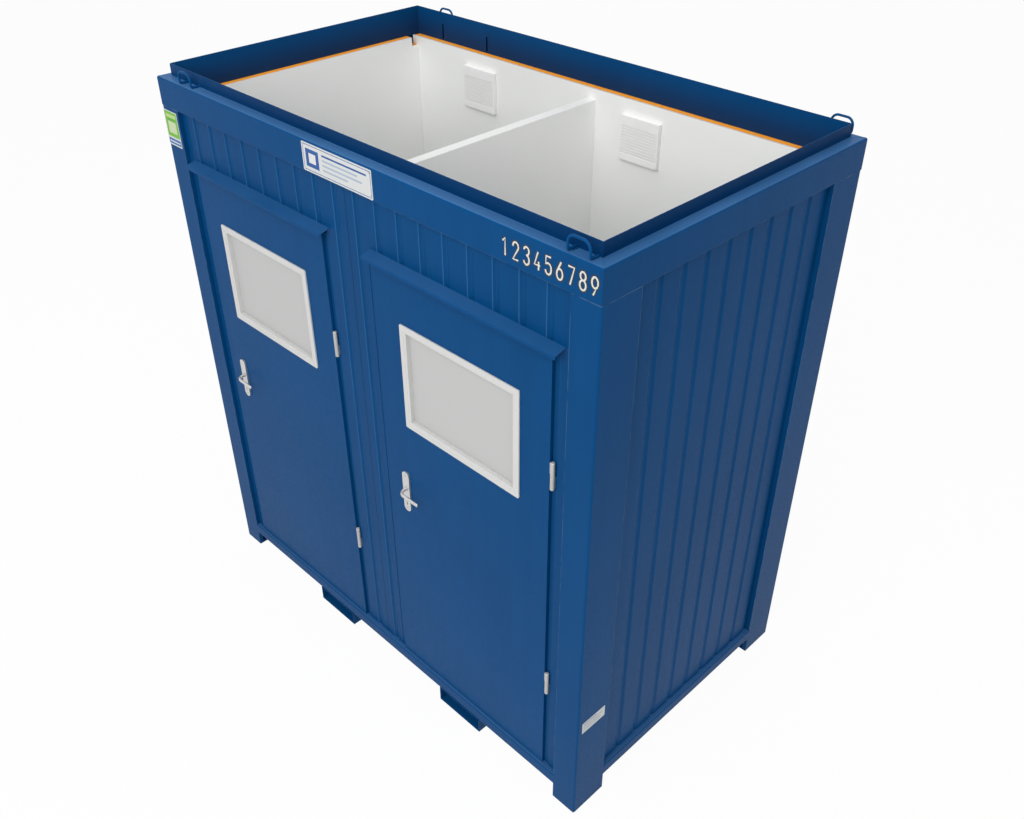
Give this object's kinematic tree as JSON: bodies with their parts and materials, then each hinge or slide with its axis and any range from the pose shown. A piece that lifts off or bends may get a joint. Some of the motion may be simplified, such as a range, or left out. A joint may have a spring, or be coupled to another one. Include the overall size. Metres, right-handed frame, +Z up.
{
  "type": "sanitary container",
  "caption": "Steel-framed sanitary container with separate toilet cubicles, outward doors with windows, fork pockets and lifting eyes.",
  "frame": {"origin": "on the ground under the middle of the frame", "axes": "+X along the long side, doors on the -Y side, +Z up"},
  "size_m": [2.4, 1.4375, 2.549],
  "materials": {
    "blue_paint": "satin powder coat",
    "joist_steel": "primer",
    "floor_board": "plywood, sealed",
    "foam_core": "rigid foam",
    "white_lining": "coated board",
    "seal_rubber": "matt",
    "hinge_steel": "zinc plated",
    "white_plastic": "satin",
    "pipe_copper": "drawn tube",
    "waste_pipe": "satin",
    "ceramic": "glazed",
    "white_frame": "satin",
    "opal_pane": "opal",
    "handle_alloy": "satin anodised",
    "bolt_steel": "nickel plated",
    "seat_plastic": "polished",
    "button_chrome": "polished"
  },
  "bodies": {
    "container": {"post_front_left": "blue_paint", "post_front_right": "blue_paint", "post_rear_left": "blue_paint", "post_rear_right": "blue_paint", "floor_rail_front": "blue_paint", "floor_rail_rear": "blue_paint", "floor_rail_left": "blue_paint", "floor_rail_right": "blue_paint", "fork_pocket_left": "blue_paint", "fork_pocket_right": "blue_paint", "floor_joists": "joist_steel", "floor_deck": "floor_board", "roof_rail_front": "blue_paint", "roof_rail_rear": "blue_paint", "roof_rail_left": "blue_paint", "roof_rail_right": "blue_paint", "lifting_eyes": "blue_paint", "cladding_front": "blue_paint", "cladding_rear": "blue_paint", "cladding_left": "blue_paint", "cladding_right": "blue_paint", "wall_insulation": "foam_core", "lining_front": "white_lining", "lining_rear": "white_lining", "lining_ends": "white_lining", "partition_wall": "white_lining", "door_frame_left": "blue_paint", "door_frame_right": "blue_paint", "door_seals": "seal_rubber", "door_canopies": "blue_paint", "hinge_pins": "hinge_steel", "vent_covers": "white_plastic", "vent_grilles": "blue_paint", "water_pipe": "pipe_copper", "waste_stubs": "waste_pipe", "paper_holders": "white_plastic", "toilet_pan_left": "ceramic", "cistern_left": "ceramic", "toilet_pan_right": "ceramic", "cistern_right": "ceramic"},
    "door_left": {"door_leaf_left": "blue_paint", "window_frame_left": "white_frame", "window_pane_left": "opal_pane", "hinge_knuckles_left": "hinge_steel", "lock_plates_left": "handle_alloy"},
    "handle_left": {"door_handle_left": "handle_alloy"},
    "latch_left": {"latch_bolt_left": "bolt_steel"},
    "seat_left": {"toilet_seat_left": "seat_plastic"},
    "lid_left": {"toilet_lid_left": "seat_plastic"},
    "button_left": {"flush_button_left": "button_chrome"},
    "door_right": {"door_leaf_right": "blue_paint", "window_frame_right": "white_frame", "window_pane_right": "opal_pane", "hinge_knuckles_right": "hinge_steel", "lock_plates_right": "handle_alloy"},
    "handle_right": {"door_handle_right": "handle_alloy"},
    "latch_right": {"latch_bolt_right": "bolt_steel"},
    "seat_right": {"toilet_seat_right": "seat_plastic"},
    "lid_right": {"toilet_lid_right": "seat_plastic"},
    "button_right": {"flush_button_right": "button_chrome"}
  },
  "joints": [
    {"name": "door_left_swing", "type": "hinge", "parent": "container", "child": "door_left", "pos_m": [-0.149, -0.686, 0.64], "axis": [0, 0, 1], "range_deg": [0, 110]},
    {"name": "handle_left_turn", "type": "hinge", "parent": "door_left", "child": "handle_left", "pos_m": [-0.927, -0.688, 1.16], "axis": [0, 1, 0], "range_deg": [0, 35], "stiffness_Nm_per_rad": 1, "springref_deg": -22.92},
    {"name": "latch_left_slide", "type": "slide", "parent": "door_left", "child": "latch_left", "axis": [1, 0, 0], "range_m": [0, 0.012]},
    {"name": "seat_left_hinge", "type": "hinge", "parent": "container", "child": "seat_left", "pos_m": [-0.568, 0.387, 0.552], "axis": [-1, 0, 0], "range_deg": [0, 92]},
    {"name": "lid_left_hinge", "type": "hinge", "parent": "container", "child": "lid_left", "pos_m": [-0.568, 0.387, 0.552], "axis": [-1, 0, 0], "range_deg": [-95, 0]},
    {"name": "flush_left_press", "type": "slide", "parent": "container", "child": "button_left", "axis": [0, 0, -1], "range_m": [0, 0.006], "stiffness_N_per_m": 400, "springref_m": -0.004},
    {"name": "door_right_swing", "type": "hinge", "parent": "container", "child": "door_right", "pos_m": [1.02, -0.686, 0.64], "axis": [0, 0, 1], "range_deg": [0, 110]},
    {"name": "handle_right_turn", "type": "hinge", "parent": "door_right", "child": "handle_right", "pos_m": [0.242, -0.688, 1.16], "axis": [0, 1, 0], "range_deg": [0, 35], "stiffness_Nm_per_rad": 1, "springref_deg": -22.92},
    {"name": "latch_right_slide", "type": "slide", "parent": "door_right", "child": "latch_right", "axis": [1, 0, 0], "range_m": [0, 0.012]},
    {"name": "seat_right_hinge", "type": "hinge", "parent": "container", "child": "seat_right", "pos_m": [0.568, 0.387, 0.552], "axis": [-1, 0, 0], "range_deg": [0, 92]},
    {"name": "lid_right_hinge", "type": "hinge", "parent": "container", "child": "lid_right", "pos_m": [0.568, 0.387, 0.552], "axis": [-1, 0, 0], "range_deg": [-95, 0]},
    {"name": "flush_right_press", "type": "slide", "parent": "container", "child": "button_right", "axis": [0, 0, -1], "range_m": [0, 0.006], "stiffness_N_per_m": 400, "springref_m": -0.004}
  ],
  "couplings": [
    {"joint": "latch_left_slide", "follows": "handle_left_turn", "m_per_rad": 0.0196},
    {"joint": "latch_right_slide", "follows": "handle_right_turn", "m_per_rad": 0.0196}
  ]
}
